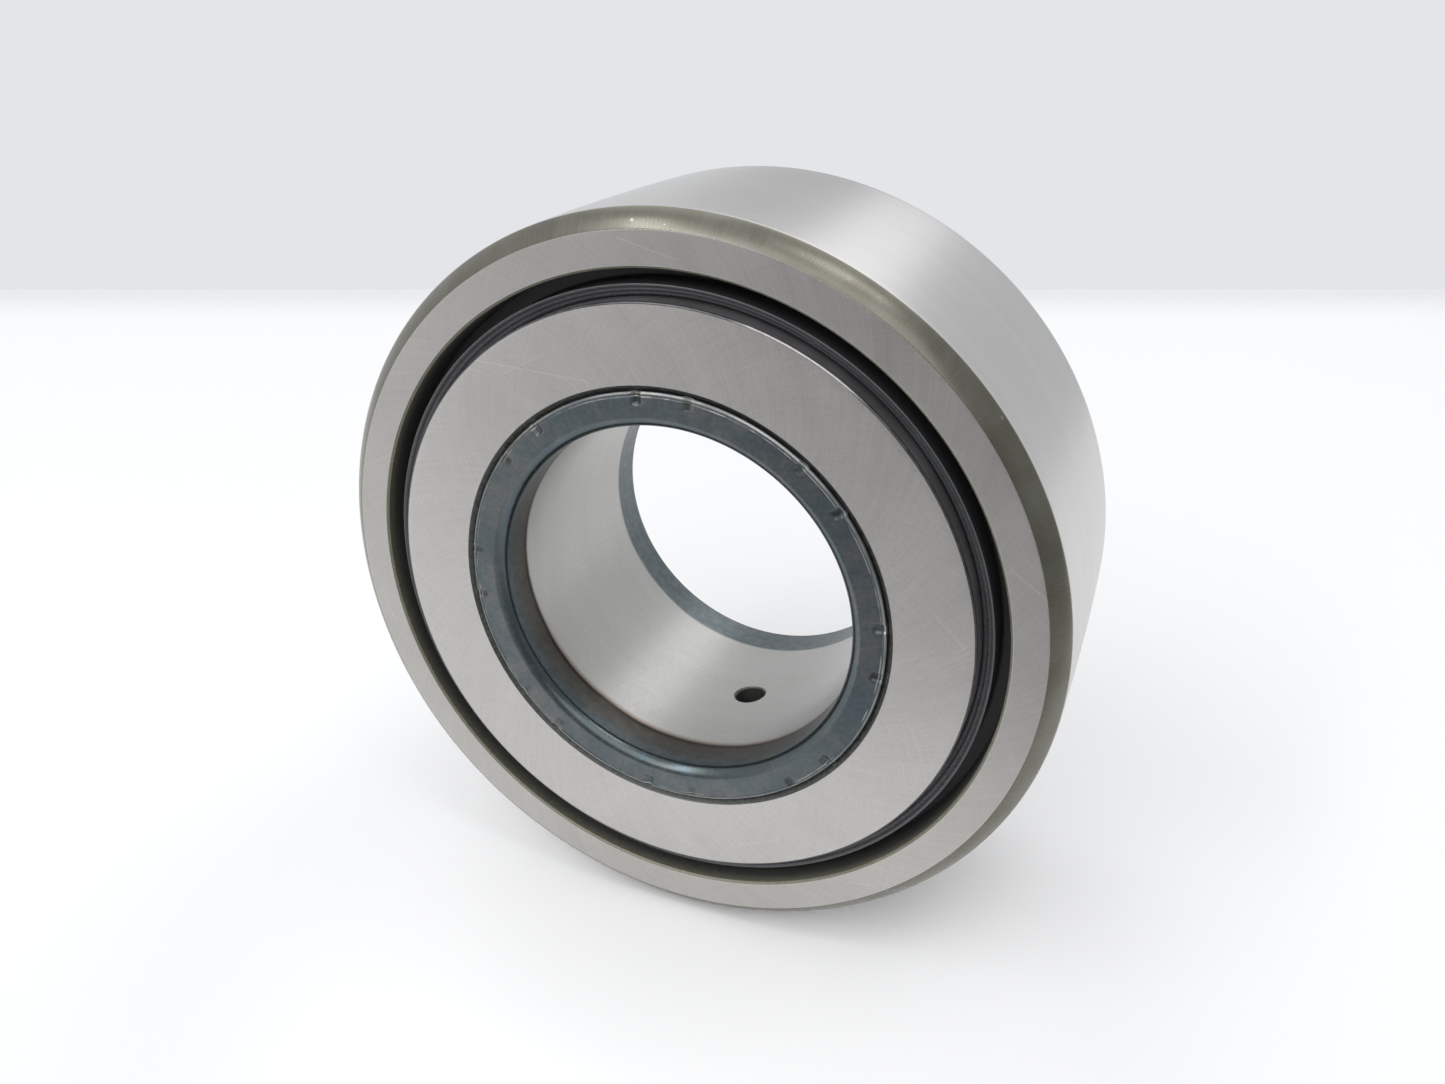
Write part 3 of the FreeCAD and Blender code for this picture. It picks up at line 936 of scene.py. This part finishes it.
# The hole's wall is painted near black as shade inside the hole.
hole_wall = drilled("hole_wall", (0.05, 0.053, 0.047))
drill(inner, OIL_HOLE_R, OIL_HOLE_ANGLE, INNER_RACE_R + 1, hole_mouth, hole_wall)

front_plate = plate_bands(plate_metal, edge_metal, rim_metal, gap_metal, race_metal)
front_seal = seal_bands(rubber, lip_rubber)
turned_piece("front_plate_look", front_plate, "front_end_plate")
turned_piece("front_seal_look", front_seal, "front_seal")
turned_piece("rear_plate_look", at_rear(front_plate), "rear_end_plate")
turned_piece("rear_seal_look", at_rear(front_seal), "rear_seal")

hidden = {
    "cage": moulded_cage("cage_plastic"),
    "needle": polished_needle("needle_metal"),
    "insert": pressed_insert("insert_metal"),
}
for name, node in frame["nodes"].items():
    for kind, material in hidden.items():
        if kind in name:
            for slot in node.material_slots:
                slot.material = material


# ---------------------------------------------------------------- floor, light and camera

def metres(x, y, z):
    return Vector((x, y, z)) * MM


def towards(azimuth, elevation):
    """Direction by angle from +Y towards +X, and by height above level, in degrees."""
    a, e = math.radians(azimuth), math.radians(elevation)
    return Vector((math.sin(a) * math.cos(e), math.cos(a) * math.cos(e), math.sin(e)))


def facing(place, target):
    """Matrix at a place whose -Z axis looks at the target, with +Y as near up as it can be."""
    back = (place - target).normalized()
    right = UP.cross(back).normalized()
    turn = Matrix((right, back.cross(right), back)).transposed().to_4x4()
    return Matrix.Translation(place) @ turn


def panel(name, place, target, width, height, brightness):
    """A soft rectangular light. brightness is what a mirror would show of it."""
    light = bpy.data.lights.new(name, "AREA")
    light.shape = "RECTANGLE"
    light.size = width
    light.size_y = height
    light.energy = brightness * math.pi * width * height
    lamp = bpy.data.objects.new(name, light)
    lamp.matrix_world = facing(place, target)
    lamp.visible_camera = False
    bpy.context.scene.collection.objects.link(lamp)
    return lamp


def ceiling_strip(name, near, far, width, brightness):
    """A long light overhead, from a near to a far place at the same height, shining straight down."""
    middle = (near + far) / 2
    along = (far - near).normalized()
    lamp = panel(name, middle, middle - UP, width, (far - near).length, brightness)
    turn = Matrix((along.cross(UP), along, UP)).transposed().to_4x4()
    lamp.matrix_world = Matrix.Translation(middle) @ turn
    return lamp


def make_floor():
    """Pale floor that ends a little beyond the object, painted white just in front of it as painted light
    against its contact shadow. What the metal mirrors of it is painted darker away from the object on the
    viewer's side,
    most of all on the right: a painted shadow of the viewer."""
    rightwards = VIEW_HEADING.cross(UP)
    corners = []
    for along, across in (
        (FLOOR_END, -FLOOR_REACH),
        (FLOOR_END, FLOOR_REACH),
        (-FLOOR_REACH, FLOOR_REACH),
        (-FLOOR_REACH, -FLOOR_REACH),
    ):
        corners.append((VIEW_HEADING * along + rightwards * across + UP * FLOOR_Z) * MM)
    mesh = bpy.data.meshes.new("floor")
    mesh.from_pydata(corners, [], [(0, 1, 2, 3)])
    floor = bpy.data.objects.new("floor", mesh)
    bpy.context.scene.collection.objects.link(floor)
    t = Tree("floor_paint", metallic=0.0, roughness=0.6, specular=0.2)
    away = t.dot(t.place, VIEW_HEADING)
    beside = t.math("SUBTRACT", t.dot(t.place, rightwards), t.math("MULTIPLY", away, 0.75))
    # Painted shadow of the viewer: what the metal mirrors of the floor darkens away from the object, more on
    # the right.
    right_painted_shadow = t.mix(t.ramp(away, -70.0, -190.0), (0.46, 0.46, 0.46), (0.22, 0.22, 0.22))
    pale = t.mix(t.ramp(away, FLOOR_END - 40.0, FLOOR_END), (0.84, 0.84, 0.84), (0.71, 0.715, 0.73))
    right = t.mix(t.ramp(away, -38.0, -72.0), pale, right_painted_shadow)
    left_painted_shadow = t.mix(t.ramp(away, -60.0, -110.0), (0.72, 0.72, 0.72), (0.6, 0.6, 0.6))
    left = t.mix(t.ramp(away, -36.0, -62.0), pale, left_painted_shadow)
    # Painted light: the floor just in front of the object is painted white against its contact shadow.
    painted_light_near_contact = t.ramp(t.vector("LENGTH", t.vector("ADD", t.place, (0, 22, 36))), 50.0, 15.0)
    room = t.mix(t.ramp(beside, -45.0, -120.0), right, left)
    seen = t.tree.nodes.new("ShaderNodeLightPath").outputs["Is Camera Ray"]
    t.paint(t.mix(painted_light_near_contact, t.mix(seen, room, pale), (1.0, 1.0, 1.0)))
    floor.data.materials.append(t.material)


def make_world():
    """Pale room with the darker parts of ROOM_SHADES, and an even backdrop where the camera sees it."""
    world = bpy.data.worlds.new("room")
    bpy.context.scene.world = world
    world.use_nodes = True
    tree = world.node_tree
    tree.nodes.clear()
    coordinate = tree.nodes.new("ShaderNodeTexCoord")
    strength = None
    for direction, start, end, darkest in ROOM_SHADES:
        dot = tree.nodes.new("ShaderNodeVectorMath")
        dot.operation = "DOT_PRODUCT"
        dot.inputs[1].default_value = direction
        tree.links.new(coordinate.outputs["Generated"], dot.inputs[0])
        shade = tree.nodes.new("ShaderNodeMapRange")
        shade.interpolation_type = "SMOOTHSTEP"
        for number_socket, number in zip(shade.inputs[1:5], (start, end, 1.0, darkest)):
            number_socket.default_value = number
        tree.links.new(dot.outputs["Value"], shade.inputs[0])
        product = tree.nodes.new("ShaderNodeMath")
        product.operation = "MULTIPLY"
        product.inputs[1].default_value = 1.0
        tree.links.new(shade.outputs[0], product.inputs[0])
        if strength is not None:
            tree.links.new(strength, product.inputs[1])
        strength = product.outputs[0]
    room = tree.nodes.new("ShaderNodeBackground")
    room.inputs["Color"].default_value = (0.79, 0.8, 0.82, 1)
    tree.links.new(strength, room.inputs["Strength"])
    backdrop = tree.nodes.new("ShaderNodeBackground")
    backdrop.inputs["Color"].default_value = (0.77, 0.785, 0.81, 1)
    path = tree.nodes.new("ShaderNodeLightPath")
    mix = tree.nodes.new("ShaderNodeMixShader")
    tree.links.new(path.outputs["Is Camera Ray"], mix.inputs[0])
    tree.links.new(room.outputs[0], mix.inputs[1])
    tree.links.new(backdrop.outputs[0], mix.inputs[2])
    output = tree.nodes.new("ShaderNodeOutputWorld")
    tree.links.new(mix.outputs[0], output.inputs[0])


def make_camera():
    camera = bpy.data.cameras.new("camera")
    camera.sensor_width = 36.0
    camera.lens = LENS
    camera.clip_start = 0.005
    camera.clip_end = 20.0
    eye = bpy.data.objects.new("camera", camera)
    place = metres(*CAMERA_PLACE)
    eye.matrix_world = facing(place, place + Vector(CAMERA_DIRECTION))
    bpy.context.scene.collection.objects.link(eye)
    bpy.context.scene.camera = eye


# The photo's camera, from a fit to the rims. The heading is the level part of its direction.
CAMERA_PLACE = (40.3, -97.9, 51.5)
CAMERA_DIRECTION = (-0.346, 0.832, -0.434)
LENS = 28.62
VIEW_HEADING = towards(-22.6, 0)

# How far the floor goes beyond the object, and to the other sides.
FLOOR_END = 264.0
FLOOR_REACH = 3000.0

# Darker parts of the room: direction, how near to it they start and end, and the share of light left.
# In order: on the right, where the viewer stands, and two behind the object.
ROOM_SHADES = (
    (towards(105, 12), 0.4, 0.92, 0.58),
    (towards(170, 5), 0.5, 0.95, 0.4),
    (towards(8, 5), 0.88, 0.99, 0.76),
    (towards(-13, 14), 0.965, 0.996, 0.68),
)

make_floor()
make_world()
make_camera()

# The lights were placed to match what the metal mirrors of them in the photo.
ceiling_strip("far_strip", Vector((0.38, 0.0, 1.0)), Vector((-0.14, 4.0, 1.0)), 0.66, 0.75)
ceiling_strip("near_strip", Vector((0.31, -0.4, 1.0)), Vector((0.29, -0.2, 1.0)), 0.44, 3.6)
ceiling_strip("left_strip", Vector((-0.8, -2.0, 1.0)), Vector((-0.56, -0.28, 1.0)), 0.22, 4.5)
panel("front", towards(178, 40) * 1.3, Vector((0, 0, 0)), 1.6, 0.9, 1.4)
panel("fill", towards(-40, 64) * 1.4, Vector((0, 0, 0)), 0.9, 0.9, 0.8)

view = bpy.context.scene.view_settings
view.view_transform = "Standard"
view.look = "None"
view.exposure = 0.0
view.gamma = 1.0
